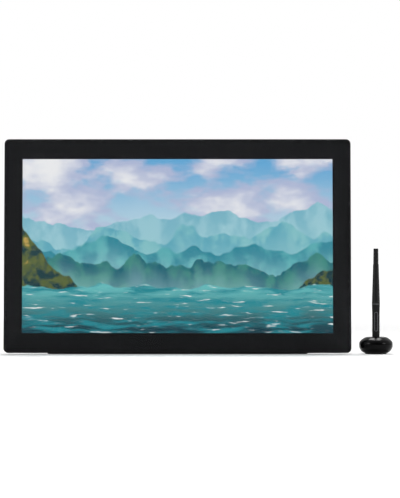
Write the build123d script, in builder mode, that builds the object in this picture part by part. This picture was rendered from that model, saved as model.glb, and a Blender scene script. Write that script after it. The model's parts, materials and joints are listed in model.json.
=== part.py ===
from build123d import *

import math
import os

# A pen display that stands on its bottom edge and a folding rear leg, with its pen in a round
# holder beside it. Lengths are in millimetres and angles in degrees. X runs along the display,
# -Y is the side that the user sits at, and Z = 0 is the desk. The origin is the middle of the foot
# strip under the display. Depths are measured backwards from the display's face, and heights up
# along the face from the bottom edge of the case.

os.makedirs("parts", exist_ok=True)

# Screen and bezels
screen_width = 526.85
screen_height = 296.35
side_bezel = 31.0
top_bezel = 34.0
bottom_bezel = 33.1

# Case
lean_angle = 5.0
case_top_radius = 8.0
case_bottom_radius = 7.0
inner_corner_radius = 2.0
side_wall = 2.2
back_wall = 1.8
rim_width = 2.4
rim_round = 0.6
frame_depth = 9.0
seam_gap = 0.3
cover_edge_radius = 4.0
cut_overrun = 5.0
seat_gap = 0.3
fit_gap = 0.05

# Glass and the layers behind it
glass_gap = 0.15
glass_thickness = 1.8
glass_chamfer = 0.3
border_inset = 0.5
border_thickness = 0.15
border_window_margin = 1.2
tape_width = 6.0
tape_inset = 1.0
bond_thickness = 0.5
cell_thickness = 1.4
cell_margin = 4.0
cell_foot_margin = 9.0
prism_thickness = 0.25
diffuser_thickness = 0.3
guide_thickness = 3.0
guide_margin = 2.0
tray_thickness = 0.8
panel_frame_wall = 3.0
shelf_thickness = 1.7
led_room = 3.5
led_board_thickness = 0.8
led_width = 5.0
led_height = 1.4
led_pitch = 12.0
layer_gap = 0.2
sensor_thickness = 1.0
sensor_margin = 9.0
shield_thickness = 0.3
chassis_thickness = 1.2
chassis_edge_gap = 2.6

# Screws and pillars
pillar_radius = 4.0
pillar_inset = 13.0
pillar_spread_share = 0.33
screw_radius = 1.4
screw_head_radius = 2.6
screw_head_height = 1.6
screw_socket_radius = 1.2
screw_socket_depth = 0.9
pillar_hole_depth = 5.0
cover_screw_sink = 3.0

# Boards and sockets
standoff_height = 1.0
standoff_radius = 2.5
board_thickness = 1.6
board_screw_radius = 1.1
board_screw_head_radius = 2.0
board_screw_head_height = 1.1
board_hole_inset = 4.0
driver_board_width = 150.0
driver_board_height = 30.0
driver_board_gap = 4.0
chip_height = 1.6
main_chip_shares = ((-0.2, 0.45, 0.16), (0.2, 0.5, 0.22), (0.05, 0.8, 0.1))
driver_chip_shares = (-0.6, 0.6)
driver_chip_share = 0.33
main_board_height = 76.0
main_board_gap = 3.5
ribbon_thickness = 0.3
ribbon_width = 20.0
ribbon_overlap = 6.0
key_ribbon_width = 5.0
socket_height = 5.5
socket_wall = 0.5
tongue_thickness = 0.9
power_socket_width = 9.0
power_socket_length = 12.0
power_hole_radius = 2.3
power_pin_radius = 0.9
hdmi_socket_width = 15.0
hdmi_socket_length = 11.0
hdmi_slope_angle = 70.0
usb_socket_width = 8.9
usb_socket_height = 3.2
usb_socket_length = 8.0
usb_socket_spacing = 16.0
power_place_share = -0.36
hdmi_place_share = -0.12
usb_place_share = 0.26
port_pocket_height = 44.0
port_drop = 11.0
port_pocket_radius = 4.0

# Mounting pattern on the back
vesa_spacing = 100.0
vesa_hole_radius = 2.0
vesa_hole_depth = 8.0
insert_radius = 4.5
insert_sink = 0.3

# Keys on the back, near the side edge
key_count = 4
key_pitch = 18.0
key_inset = 32.0
key_radius = 4.5
power_key_radius = 5.5
key_proud = 0.8
key_flange = 1.0
key_flange_thickness = 0.8
key_clearance = 0.3
key_stem_radius = 1.5
key_travel = 0.8
key_board_width = 18.0
switch_size = 6.0
switch_height = 2.0

# Feet, pads and vents
foot_length = 440.0
foot_width = 8.0
foot_proud = 1.6
foot_seat = 1.2
foot_setback = 4.0
foot_round_share = 0.33
pad_radius = 7.0
pad_inset = 26.0
pad_seat = 0.6
pad_proud = 1.2
vent_count = 24
vent_width = 2.0
vent_length = 14.0
vent_pitch = 6.0

# Rear leg and its hinges
leg_span = 244.0
leg_length = 200.0
leg_top_inset = 34.0
leg_arm_width = 14.0
leg_bar_width = 16.0
leg_thickness = 8.0
leg_corner_radius = 10.0
leg_inner_radius = 2.5
leg_edge_round = 1.0
leg_clearance = 0.7
leg_side_clearance = 1.0
leg_flush_gap = 0.3
leg_stop_gap = 0.5
leg_foot_thickness = 3.0
leg_foot_wear = 1.2
leg_foot_neck_share = 0.33
leg_foot_side_inset = 12.0
recess_wall = 1.4
finger_notch_width = 36.0
finger_notch_height = 14.0
hinge_pin_radius = 3.0
hinge_pin_head_radius = 3.8
hinge_pin_head_thickness = 2.2
hinge_ear_thickness = 3.0
hinge_washer_thickness = 0.5
hinge_washer_radius = 3.9
hinge_side_gap = 0.5
bracket_plate_thickness = 1.8
bracket_screw_radius = 1.2
bracket_screw_head_radius = 1.8
bracket_screw_head_height = 0.9
bracket_screw_edge = 2.6
bracket_screw_spread = 8.0
pocket_above_hinge = 8.0

# Pen holder: a flattened ring that opens at its widest line
holder_gap = 13.575
holder_radius = 28.5
holder_height = 29.0
holder_base_radius = 18.0
holder_waist_height = 16.0
holder_crest_radius = 13.0
holder_lower_shares = ((0.23, 0.12), (0.52, 0.235), (0.86, 0.54))
holder_upper_shares = ((0.84, 0.52), (0.56, 0.79))
holder_wall = 2.0
holder_seam_gap = 0.15
holder_lip_height = 1.6
holder_lip_root = 2.0
holder_lip_thickness = 0.9
holder_lip_gap = 0.4
holder_floor = 0.9
holder_pad_thickness = 1.6
holder_pad_proud = 0.5
holder_pad_inset = 0.6
holder_column_radius = 7.0
holder_column_bore = 3.2
holder_column_depth = 6.7
weight_height = 6.0
weight_flare_share = 0.86
nib_tray_height = 5.7
nib_tray_inset = 3.3
nib_count = 10
nib_circle_radius = 15.5
spare_nib_length = 10.0
nib_hole_depth = 4.5
funnel_wall = 1.6
funnel_gap = 0.3
funnel_seat_share = 0.8

# Pen
pen_tip_height = 11.0
nib_radius = 0.8
nib_round = 0.5
nib_exposed = 2.5
nib_length = 19.0
nib_travel = 0.5
nib_bore_gap = 0.2
nose_length = 14.5
nose_tip_radius = 1.5
nose_wall = 0.8
nose_solid_length = 4.5
grip_radius = 6.3
grip_top_radius = 6.8
grip_flare_share = 0.6
grip_length = 56.0
grip_wall = 1.15
core_wall = 1.0
core_floor = 1.25
core_spigot = 11.0
pen_ring_height = 1.2
pen_ring_proud = 0.1
barrel_length = 66.8
barrel_radius = 6.85
barrel_bore = 2.9
barrel_shape_shares = ((0.22, 0.935), (0.52, 0.838))
barrel_end_share = 0.708
tail_length = 26.7
tail_start_share = 0.92
tail_end_share = 0.84
tail_round = 0.8
tail_crown_height = 6.5
tail_groove_height = 0.5
tail_groove_depth = 0.3
tail_dip_radius = 1.8
tail_dip_depth = 0.9
tail_spigot = 4.0
ferrite_radius = 1.7
coil_radius = 2.5
coil_end_gap = 1.2
pressure_sensor_radius = 3.0
pressure_sensor_length = 5.0
pressure_sensor_hole_gap = 0.7
pen_part_gap = 0.1
pen_board_width = 4.8
pen_board_thickness = 1.2
pen_board_length = 64.0
pen_switch_height = 1.8
pen_switch_size = 3.0
bezel_length = 33.0
bezel_width = 6.0
bezel_wall = 1.0
bezel_proud = 0.2
bezel_depth = 2.3
bezel_centre_height = 43.7
pen_button_gap = 0.2
pen_button_split = 0.6
pen_button_proud = 0.7
pen_button_height = 2.5
pen_button_travel = 0.4
pen_button_stem = 1.8

# Case outline and the depth of each layer behind the face
case_width = screen_width + 2 * side_bezel
case_height = screen_height + top_bezel + bottom_bezel
glass_back = glass_thickness
border_back = glass_back + border_thickness
bond_back = border_back + bond_thickness
cell_back = bond_back + cell_thickness
prism_back = cell_back + prism_thickness
diffuser_back = prism_back + diffuser_thickness
guide_back = diffuser_back + guide_thickness
tray_back = guide_back + tray_thickness
sensor_front = tray_back + layer_gap
sensor_back = sensor_front + sensor_thickness
shield_back = sensor_back + shield_thickness
chassis_front = shield_back + layer_gap
chassis_back = chassis_front + chassis_thickness
board_front = chassis_back + standoff_height
board_back = board_front + board_thickness

# The case is as thick as its layers and what lies behind the chassis need
room_for_leg = seat_gap + recess_wall + leg_clearance + leg_thickness + leg_flush_gap
room_for_sockets = standoff_height + board_thickness + socket_height + seat_gap + back_wall
case_thickness = chassis_back + max(room_for_leg, room_for_sockets)
cover_front = frame_depth + seam_gap
cover_inside = case_thickness - back_wall
hinge_depth = case_thickness - leg_flush_gap - leg_thickness / 2
recess_back = hinge_depth - leg_thickness / 2 - leg_clearance
recess_front = recess_back - recess_wall

# The display leans back, and its foot strip stands on the desk at the origin
lean = math.radians(lean_angle)
foot_depth = case_thickness - foot_setback - foot_width / 2
face_origin_y = foot_proud * math.sin(lean) - foot_depth * math.cos(lean)
face_origin_z = foot_proud * math.cos(lean) + foot_depth * math.sin(lean)
face_plane = Plane(
    origin=(0, face_origin_y, face_origin_z),
    x_dir=(1, 0, 0),
    z_dir=(0, -math.cos(lean), math.sin(lean)),
)
face_axis = Axis(face_plane.origin, face_plane.z_dir)


def depth_plane(depth):
    """The plane parallel to the display's face, this far behind it."""
    return face_plane.offset(-depth)


def face_point(across, height, depth):
    """A point given across, up and behind the display's face."""
    return face_plane.from_local_coords((across, height, -depth))


def level_plane(height, depth):
    """A plane square to the face, whose normal points down it and whose y axis points forwards."""
    down = face_plane.y_dir * -1
    return Plane(origin=face_point(0, height, depth), x_dir=(1, 0, 0), z_dir=down)


def side_plane(across, height, depth):
    """A plane square to X, whose normal points along +X."""
    return Plane(origin=face_point(across, height, depth), x_dir=(0, 1, 0), z_dir=(1, 0, 0))


def case_outline(depth, inset):
    """The outline of the case at a depth, drawn in on all sides."""
    with BuildSketch(depth_plane(depth)) as outline:
        with Locations((0, case_height / 2)):
            Rectangle(case_width - 2 * inset, case_height - 2 * inset)
        top_radius = max(case_top_radius - inset, inner_corner_radius)
        bottom_radius = max(case_bottom_radius - inset, inner_corner_radius)
        fillet(outline.vertices().group_by(Axis.Y)[-1], top_radius)
        fillet(outline.vertices().group_by(Axis.Y)[0], bottom_radius)
    return outline.sketch


def add_case(front, back, inset, mode=Mode.ADD):
    """The case's outline between two depths, in the part being built."""
    extrude(case_outline(front, inset), amount=front - back, mode=mode)


def add_block(front, back, low, high, radius=0, mode=Mode.ADD):
    """A block between two depths and two corners of the face, in the part being built."""
    width = high[0] - low[0]
    height = high[1] - low[1]
    with BuildSketch(depth_plane(front)) as outline:
        with Locations(((low[0] + high[0]) / 2, (low[1] + high[1]) / 2)):
            if radius > 0:
                RectangleRounded(width, height, radius)
            else:
                Rectangle(width, height)
    extrude(outline.sketch, amount=front - back, mode=mode)


def add_rounds(places, front, back, radius, mode=Mode.ADD):
    """Round pillars or holes between two depths."""
    with BuildSketch(depth_plane(front)) as rounds:
        with Locations(*places):
            Circle(radius)
    extrude(rounds.sketch, amount=front - back, mode=mode)


def add_screws(places, seat, length, radius, head_radius, head_height):
    """Screws driven in from the back, their heads behind the depth where they seat."""
    add_rounds(places, seat - length, seat, radius)
    add_rounds(places, seat, seat + head_height, head_radius)
    socket_front = seat + head_height - min(screw_socket_depth, head_height / 2)
    with BuildSketch(depth_plane(socket_front)) as sockets:
        with Locations(*places):
            RegularPolygon(min(screw_socket_radius, head_radius / 2), 6)
    extrude(sockets.sketch, amount=-cut_overrun, mode=Mode.SUBTRACT)


def screen_block(front, back, side, top, foot, mode=Mode.ADD):
    """A block that stands out beyond the screen's picture by a margin on each side."""
    low = (-screen_width / 2 - side, bottom_bezel - foot)
    high = (screen_width / 2 + side, bottom_bezel + screen_height + top)
    add_block(front, back, low, high, mode=mode)


def save(piece, name):
    """Labels a finished piece and writes it to its own file."""
    piece.part.label = name
    export_step(piece.part, f"parts/{name}.step")


def mirrored(places):
    """The same places on both sides of the display."""
    return [(side * across, height) for across, height in places for side in (-1, 1)]


# Places of pillars, screws, pads and mounting holes
pillar_side = case_width / 2 - pillar_inset
pillar_low = pillar_inset
pillar_high = case_height - pillar_inset
pillar_spread = case_width * pillar_spread_share / 2
corner_places = mirrored([(pillar_side, pillar_low), (pillar_side, pillar_high)])
edge_places = mirrored(
    [
        (pillar_side, case_height / 2),
        (pillar_spread, pillar_low),
        (pillar_spread, pillar_high),
    ]
)
pad_side = case_width / 2 - pad_inset - pad_radius
pad_places = mirrored([(pad_side, pad_inset), (pad_side, case_height - pad_inset)])
vesa_middle = case_height / 2
vesa_places = mirrored(
    [
        (vesa_spacing / 2, vesa_middle - vesa_spacing / 2),
        (vesa_spacing / 2, vesa_middle + vesa_spacing / 2),
    ]
)

# Cover glass, with a fine chamfer round its front edge
with BuildPart() as cover_glass:
    add_case(0, glass_back, rim_width + glass_gap)
    chamfer(cover_glass.faces().sort_by(face_axis)[-1].edges(), glass_chamfer)
save(cover_glass, "cover_glass")

# Black border printed on the back of the glass
with BuildPart() as printed_border:
    add_case(glass_back, border_back, rim_width + glass_gap + border_inset)
    window = border_window_margin
    screen_block(glass_back, border_back, window, window, window, mode=Mode.SUBTRACT)
save(printed_border, "printed_border")

# Clear bond that fills the border's window and holds the screen to the glass
with BuildPart() as optical_bond:
    screen_block(glass_back, border_back, window, window, window)
    screen_block(border_back, bond_back, cell_margin, cell_margin, cell_foot_margin)
save(optical_bond, "optical_bond")

# Foam tape between the border and the front frame's shelf
tape_outer = rim_width + glass_gap + tape_inset
with BuildPart() as glass_tape:
    add_case(border_back, bond_back, tape_outer)
    add_case(border_back, bond_back, tape_outer + tape_width, mode=Mode.SUBTRACT)
save(glass_tape, "glass_tape")

# Liquid crystal cell
with BuildPart() as lcd_cell:
    screen_block(bond_back, cell_back, cell_margin, cell_margin, cell_foot_margin)
save(lcd_cell, "lcd_cell")

# Films and light guide of the backlight
backlight_layers = {
    "prism_film": (cell_back, prism_back),
    "diffuser_film": (prism_back, diffuser_back),
    "light_guide": (diffuser_back, guide_back),
}
for layer_name, (layer_front, layer_back) in backlight_layers.items():
    with BuildPart() as backlight_layer:
        screen_block(layer_front, layer_back, guide_margin, guide_margin, guide_margin)
    save(backlight_layer, layer_name)

# Row of lamps that shines up into the light guide's lower edge
led_floor = bottom_bezel - guide_margin - led_room
led_count = int((screen_width - led_width) / led_pitch) + 1
with BuildPart() as led_strip:
    board_top = led_floor + led_board_thickness
    low = (-screen_width / 2, led_floor)
    high = (screen_width / 2, board_top)
    add_block(diffuser_back, guide_back, low, high)
    with BuildSketch(depth_plane(diffuser_back)) as lamps:
        with Locations((0, board_top + led_height / 2)):
            with GridLocations(led_pitch, led_height, led_count, 1):
                Rectangle(led_width, led_height)
    extrude(lamps.sketch, amount=diffuser_back - guide_back)
save(led_strip, "led_strip")

# Plastic frame round the screen's layers
frame_margin = cell_margin + panel_frame_wall
frame_foot_margin = cell_foot_margin + panel_frame_wall
with BuildPart() as panel_frame:
    screen_block(bond_back, guide_back, frame_margin, frame_margin, frame_foot_margin)
    pocket = cell_margin + layer_gap
    foot_pocket = cell_foot_margin + layer_gap
    screen_block(bond_back, cell_back, pocket, pocket, foot_pocket, mode=Mode.SUBTRACT)
    bore = guide_margin + layer_gap
    foot_bore = guide_margin + led_room + layer_gap
    screen_block(cell_back, guide_back, bore, bore, foot_bore, mode=Mode.SUBTRACT)
save(panel_frame, "panel_frame")

# White-coated metal tray behind the light guide
with BuildPart() as backlight_tray:
    screen_block(guide_back, tray_back, frame_margin, frame_margin, frame_foot_margin)
save(backlight_tray, "backlight_tray")

# Board that senses the pen, and the sheet that shields it
with BuildPart() as pen_sensor_board:
    screen_block(sensor_front, sensor_back, sensor_margin, sensor_margin, sensor_margin)
save(pen_sensor_board, "pen_sensor_board")

with BuildPart() as sensor_shield:
    screen_block(sensor_back, shield_back, sensor_margin, sensor_margin, sensor_margin)
save(sensor_shield, "sensor_shield")

# Front frame: the rim round the glass, the shelf that carries it, the side walls and the pillars
shelf_back = bond_back + shelf_thickness
with BuildPart() as front_frame:
    add_case(0, frame_depth, 0)
    fillet(front_frame.faces().sort_by(face_axis)[-1].edges(), rim_round)
    add_case(0, bond_back, rim_width, mode=Mode.SUBTRACT)
    opening = frame_margin + layer_gap
    foot_opening = frame_foot_margin + layer_gap
    screen_block(0, frame_depth, opening, opening, foot_opening, mode=Mode.SUBTRACT)
    add_case(shelf_back, frame_depth, side_wall, mode=Mode.SUBTRACT)
    add_rounds(corner_places + edge_places, shelf_back, chassis_front, pillar_radius)
    hole_front = chassis_front - pillar_hole_depth
    add_rounds(
        corner_places + edge_places,
        hole_front,
        chassis_front,
        screw_radius + fit_gap,
        mode=Mode.SUBTRACT,
    )
save(front_frame, "front_frame")

# Room for the leg and its hinges in the back of the case, set out from the case's top edge
arm_place = leg_span / 2
arm_half = leg_arm_width / 2 + leg_side_clearance
leg_head = case_height - leg_top_inset
hinge_height = leg_head - leg_side_clearance - leg_foot_thickness - leg_length
bar_low = hinge_height + leg_length - leg_bar_width - leg_side_clearance
hinge_side_room = hinge_side_gap + hinge_washer_thickness + hinge_ear_thickness
hinge_half = leg_arm_width / 2 + hinge_side_room + hinge_side_gap
hinge_top = hinge_height + pocket_above_hinge

# The open leg's angle below the level, from the height of its hinge and its own length
hinge_level = face_point(0, hinge_height, hinge_depth).Z
foot_reach = leg_length + leg_foot_thickness
foot_swing = math.hypot(foot_reach, leg_thickness / 2)
leg_drop = math.asin((hinge_level + leg_foot_wear) / foot_swing)
leg_drop = leg_drop - math.atan2(leg_thickness / 2, foot_reach)
leg_swing = math.pi / 2 - lean + leg_drop

# Where the open leg's lower side crosses the back of the case
crossing = leg_thickness / 2 * math.sin(leg_swing)
crossing_run = case_thickness - hinge_depth - leg_thickness / 2 * math.cos(leg_swing)
crossing = crossing - crossing_run * math.cos(leg_swing) / math.sin(leg_swing)
recess_low = hinge_height - crossing - leg_stop_gap


def leg_recess(grow, hinge_pocket_only=False):
    """Low and high corners of the hollows for the leg, grown on all sides."""
    corners = []
    for side in (-1, 1):
        middle = side * arm_place
        low = (middle - hinge_half - grow, recess_low - grow)
        high = (middle + hinge_half + grow, hinge_top + grow)
        corners.append((low, high))
        if not hinge_pocket_only:
            low = (middle - arm_half - grow, recess_low - grow)
            high = (middle + arm_half + grow, leg_head + grow)
            corners.append((low, high))
    if not hinge_pocket_only:
        low = (-arm_place - arm_half - grow, bar_low - grow)
        high = (arm_place + arm_half + grow, leg_head + grow)
        corners.append((low, high))
        low = (-finger_notch_width / 2 - grow, bar_low - grow)
        high = (finger_notch_width / 2 + grow, leg_head + finger_notch_height + grow)
        corners.append((low, high))
    return corners


# Pocket that the sockets open into, and the places of the boards
main_board_width = vesa_spacing - 2 * (insert_radius + main_board_gap)
port_roof = recess_low - port_drop
port_floor = port_roof - port_pocket_height
board_low = port_roof + recess_wall + seat_gap
board_high = board_low + main_board_height
driver_half = driver_board_width / 2
driver_high = bar_low - recess_wall - driver_board_gap
driver_low = driver_high - driver_board_height
key_side = case_width / 2 - key_inset
ribbon_low = board_low + seat_gap
key_middle = ribbon_low + key_ribbon_width / 2
key_foot_height = key_middle - (key_count - 1) * key_pitch / 2
key_places = [(key_side, key_foot_height + index * key_pitch) for index in range(key_count)]
key_board_low = key_foot_height - key_pitch
key_board_high = key_foot_height + key_count * key_pitch
hole = board_hole_inset
main_half = main_board_width / 2
main_board_holes = mirrored([(main_half - hole, board_high - hole)])
driver_board_holes = mirrored(
    [(driver_half - hole, driver_low + hole), (driver_half - hole, driver_high - hole)]
)
key_board_holes = [(key_side, key_board_low + hole), (key_side, key_board_high - hole)]
board_holes = main_board_holes + driver_board_holes + key_board_holes
bracket_places = []
for side in (-1, 1):
    for spread in (-bracket_screw_spread / 2, bracket_screw_spread / 2):
        screw_across = side * (arm_place + hinge_ear_thickness / 2) + spread
        bracket_places.append((screw_across, recess_low + bracket_screw_edge))

# Chassis plate, with the standoffs that carry the boards
chassis_inset = side_wall + chassis_edge_gap
with BuildPart() as chassis_plate:
    add_case(chassis_front, chassis_back, chassis_inset)
    add_rounds(board_holes, chassis_back, board_front, standoff_radius)
    cut_front = chassis_front - cut_overrun
    cut_back = chassis_back + cut_overrun
    screw_hole = screw_radius + fit_gap
    add_rounds(corner_places + edge_places, cut_front, cut_back, screw_hole, mode=Mode.SUBTRACT)
    board_hole = board_screw_radius + fit_gap
    add_rounds(board_holes, cut_front, cut_back, board_hole, mode=Mode.SUBTRACT)
    bracket_hole = bracket_screw_radius + fit_gap
    add_rounds(bracket_places, cut_front, cut_back, bracket_hole, mode=Mode.SUBTRACT)
save(chassis_plate, "chassis_plate")

with BuildPart() as chassis_screws:
    add_screws(
        edge_places,
        chassis_back,
        chassis_thickness + pillar_hole_depth - seat_gap,
        screw_radius,
        screw_head_radius,
        screw_head_height,
    )
save(chassis_screws, "chassis_screws")

# Rear cover: a shell with a recess for the leg, a pocket for the sockets and holes for the keys
cover_seat = case_thickness - cover_screw_sink
socket_middle = board_back + socket_height / 2
usb_middle = board_back + usb_socket_height / 2
pocket_half = main_half
port_low = (-pocket_half, port_floor)
port_high = (pocket_half, port_roof)
power_place = power_place_share * main_board_width
hdmi_place = hdmi_place_share * main_board_width
usb_place = usb_place_share * main_board_width
usb_places = [usb_place - usb_socket_spacing / 2, usb_place + usb_socket_spacing / 2]
with BuildPart() as rear_cover:
    add_case(cover_front, case_thickness, 0)
    fillet(rear_cover.faces().sort_by(face_axis)[0].edges(), cover_edge_radius)
    add_case(cover_front, cover_inside, side_wall, mode=Mode.SUBTRACT)
    wall_back = case_thickness - back_wall / 2
    for low, high in leg_recess(recess_wall):
        add_block(recess_front, wall_back, low, high)
    low = (port_low[0] - recess_wall, port_low[1] - recess_wall)
    high = (port_high[0] + recess_wall, port_high[1] + recess_wall)
    add_block(recess_front, wall_back, low, high)
    boss_front = chassis_back + seat_gap
    add_rounds(corner_places, boss_front, wall_back, pillar_radius)
    for low, high in leg_recess(0):
        add_block(recess_back, case_thickness + cut_overrun, low, high, mode=Mode.SUBTRACT)
    for low, high in leg_recess(0, hinge_pocket_only=True):
        add_block(chassis_front, case_thickness, low, high, mode=Mode.SUBTRACT)
    add_block(
        recess_back,
        case_thickness + cut_overrun,
        port_low,
        port_high,
        radius=port_pocket_radius,
        mode=Mode.SUBTRACT,
    )
    with BuildSketch(level_plane(port_roof - seat_gap, socket_middle)) as socket_mouths:
        with Locations((power_place, 0)):
            Rectangle(power_socket_width + 2 * seat_gap, socket_height + 2 * seat_gap)
        with Locations((hdmi_place, 0)):
            Rectangle(hdmi_socket_width + 2 * seat_gap, socket_height + 2 * seat_gap)
        for place in usb_places:
            with Locations((place, socket_middle - usb_middle)):
                Rectangle(usb_socket_width + 2 * seat_gap, usb_socket_height + 2 * seat_gap)
    extrude(socket_mouths.sketch, amount=-recess_wall - 3 * seat_gap, mode=Mode.SUBTRACT)
    add_rounds(corner_places, boss_front, case_thickness, screw_hole, mode=Mode.SUBTRACT)
    head_hole = screw_head_radius + seat_gap
    cover_cut = case_thickness + cut_overrun
    add_rounds(corner_places, cover_seat, cover_cut, head_hole, mode=Mode.SUBTRACT)
    insert_hole = insert_radius + fit_gap
    add_rounds(vesa_places, cover_inside - fit_gap, cover_cut, insert_hole, mode=Mode.SUBTRACT)
    for index, place in enumerate(key_places):
        cap_radius = power_key_radius if index == key_count - 1 else key_radius
        key_hole = cap_radius + key_clearance
        add_rounds([place], cover_inside - fit_gap, cover_cut, key_hole, mode=Mode.SUBTRACT)
    pad_hole = pad_radius + fit_gap
    pad_floor = case_thickness - pad_seat
    add_rounds(pad_places, pad_floor, cover_cut, pad_hole, mode=Mode.SUBTRACT)
    with BuildSketch(depth_plane(cover_inside - fit_gap)) as vents:
        with Locations((0, (driver_low + driver_high) / 2)):
            with GridLocations(vent_pitch, vent_length, vent_count, 1):
                SlotOverall(vent_length, vent_width, rotation=90)
    extrude(vents.sketch, amount=-back_wall - cut_overrun, mode=Mode.SUBTRACT)
    with BuildSketch(level_plane(foot_seat, foot_depth)) as foot_groove:
        Rectangle(foot_length + 2 * fit_gap, foot_width + 2 * fit_gap)
    extrude(foot_groove.sketch, amount=cut_overrun, mode=Mode.SUBTRACT)
save(rear_cover, "rear_cover")

with BuildPart() as cover_screws:
    add_screws(
        corner_places,
        cover_seat,
        cover_seat - chassis_front + pillar_hole_depth - seat_gap,
        screw_radius,
        screw_head_radius,
        screw_head_height,
    )
save(cover_screws, "cover_screws")

# Threaded inserts of the mounting pattern
with BuildPart() as vesa_inserts:
    add_rounds(vesa_places, chassis_back, case_thickness - insert_sink, insert_radius)
    bore_front = case_thickness - insert_sink - vesa_hole_depth
    add_rounds(vesa_places, bore_front, case_thickness, vesa_hole_radius, mode=Mode.SUBTRACT)
save(vesa_inserts, "vesa_inserts")

# Foot strip under the display, cut flat where it stands on the desk
with BuildPart() as bottom_foot:
    with BuildSketch(level_plane(foot_seat, foot_depth)) as strip:
        RectangleRounded(foot_length, foot_width, foot_width * foot_round_share)
    extrude(strip.sketch, amount=foot_seat + 2 * foot_proud)
    split(bisect_by=Plane.XY, keep=Keep.TOP)
save(bottom_foot, "bottom_foot")

# Pads that the display lies on when the leg is folded
with BuildPart() as rear_pads:
    add_rounds(pad_places, case_thickness - pad_seat, case_thickness + pad_proud, pad_radius)
save(rear_pads, "rear_pads")

# Main board with its chips, the board that drives the screen, and the board behind the keys
with BuildPart() as main_board:
    add_block(board_front, board_back, (-main_half, board_low), (main_half, board_high))
    chip_back = board_back + chip_height
    for across_share, up_share, size_share in main_chip_shares:
        across = across_share * main_board_width
        up = board_low + up_share * main_board_height
        reach = size_share * main_board_width / 2
        add_block(board_back, chip_back, (across - reach, up - reach), (across + reach, up + reach))
    add_rounds(main_board_holes, board_front, board_back, board_hole, mode=Mode.SUBTRACT)
save(main_board, "main_board")

with BuildPart() as panel_driver_board:
    add_block(board_front, board_back, (-driver_half, driver_low), (driver_half, driver_high))
    reach = driver_chip_share * driver_board_height / 2
    middle = (driver_low + driver_high) / 2
    for across_share in driver_chip_shares:
        across = across_share * driver_half
        low = (across - reach, middle - reach)
        high = (across + reach, middle + reach)
        add_block(board_back, chip_back, low, high)
    add_rounds(driver_board_holes, board_front, board_back, board_hole, mode=Mode.SUBTRACT)
save(panel_driver_board, "panel_driver_board")

key_board_half = key_board_width / 2
switch_half = switch_size / 2
with BuildPart() as key_board:
    low = (key_side - key_board_half, key_board_low)
    high = (key_side + key_board_half, key_board_high)
    add_block(board_front, board_back, low, high)
    for across, height in key_places:
        low = (across - switch_half, height - switch_half)
        high = (across + switch_half, height + switch_half)
        add_block(board_back, board_back + switch_height, low, high)
    add_rounds(key_board_holes, board_front, board_back, board_hole, mode=Mode.SUBTRACT)
save(key_board, "key_board")

with BuildPart() as board_screws:
    add_screws(
        board_holes,
        board_back,
        board_back - chassis_front,
        board_screw_radius,
        board_screw_head_radius,
        board_screw_head_height,
    )
save(board_screws, "board_screws")

# Flat cables between the boards
ribbon_back = board_back + ribbon_thickness
with BuildPart() as panel_ribbon:
    low = (-ribbon_width / 2, board_high - ribbon_overlap)
    high = (ribbon_width / 2, driver_low + ribbon_overlap)
    add_block(board_back, ribbon_back, low, high)
save(panel_ribbon, "panel_ribbon")

with BuildPart() as key_ribbon:
    low = (main_half - ribbon_overlap, ribbon_low)
    high = (key_side - switch_half - seat_gap, ribbon_low + key_ribbon_width)
    add_block(board_back, ribbon_back, low, high)
save(key_ribbon, "key_ribbon")

# Sockets along the main board's lower edge, open downwards
mouth = port_roof + seat_gap
with BuildPart() as power_socket:
    with BuildSketch(level_plane(mouth, socket_middle)) as shell:
        with Locations((power_place, 0)):
            Rectangle(power_socket_width, socket_height)
    extrude(shell.sketch, amount=-power_socket_length)
    with BuildSketch(level_plane(mouth, socket_middle)) as hole_and_pin:
        with Locations((power_place, 0)):
            Circle(power_hole_radius)
            Circle(power_pin_radius, mode=Mode.SUBTRACT)
    extrude(hole_and_pin.sketch, amount=socket_wall - power_socket_length, mode=Mode.SUBTRACT)
save(power_socket, "power_socket")

with BuildPart() as hdmi_socket:
    with BuildSketch(level_plane(mouth, socket_middle)) as shell:
        with Locations((hdmi_place, 0)):
            Rectangle(hdmi_socket_width, socket_height)
    extrude(shell.sketch, amount=-hdmi_socket_length)
    inner_width = hdmi_socket_width - 2 * socket_wall
    inner_height = socket_height - 2 * socket_wall
    with BuildSketch(level_plane(mouth, socket_middle)) as cavity:
        with Locations((hdmi_place, 0)):
            Trapezoid(inner_width, inner_height, hdmi_slope_angle)
            Rectangle(inner_width / 2, tongue_thickness, mode=Mode.SUBTRACT)
    extrude(cavity.sketch, amount=socket_wall - hdmi_socket_length, mode=Mode.SUBTRACT)
save(hdmi_socket, "hdmi_socket")

with BuildPart() as usb_c_sockets:
    with BuildSketch(level_plane(mouth, usb_middle)) as shells:
        for place in usb_places:
            with Locations((place, 0)):
                SlotOverall(usb_socket_width, usb_socket_height)
    extrude(shells.sketch, amount=-usb_socket_length)
    with BuildSketch(level_plane(mouth, usb_middle)) as cavities:
        for place in usb_places:
            with Locations((place, 0)):
                SlotOverall(usb_socket_width - socket_wall, usb_socket_height - socket_wall)
                Rectangle(usb_socket_width / 2, tongue_thickness, mode=Mode.SUBTRACT)
    extrude(cavities.sketch, amount=socket_wall - usb_socket_length, mode=Mode.SUBTRACT)
save(usb_c_sockets, "usb_c_sockets")

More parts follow.
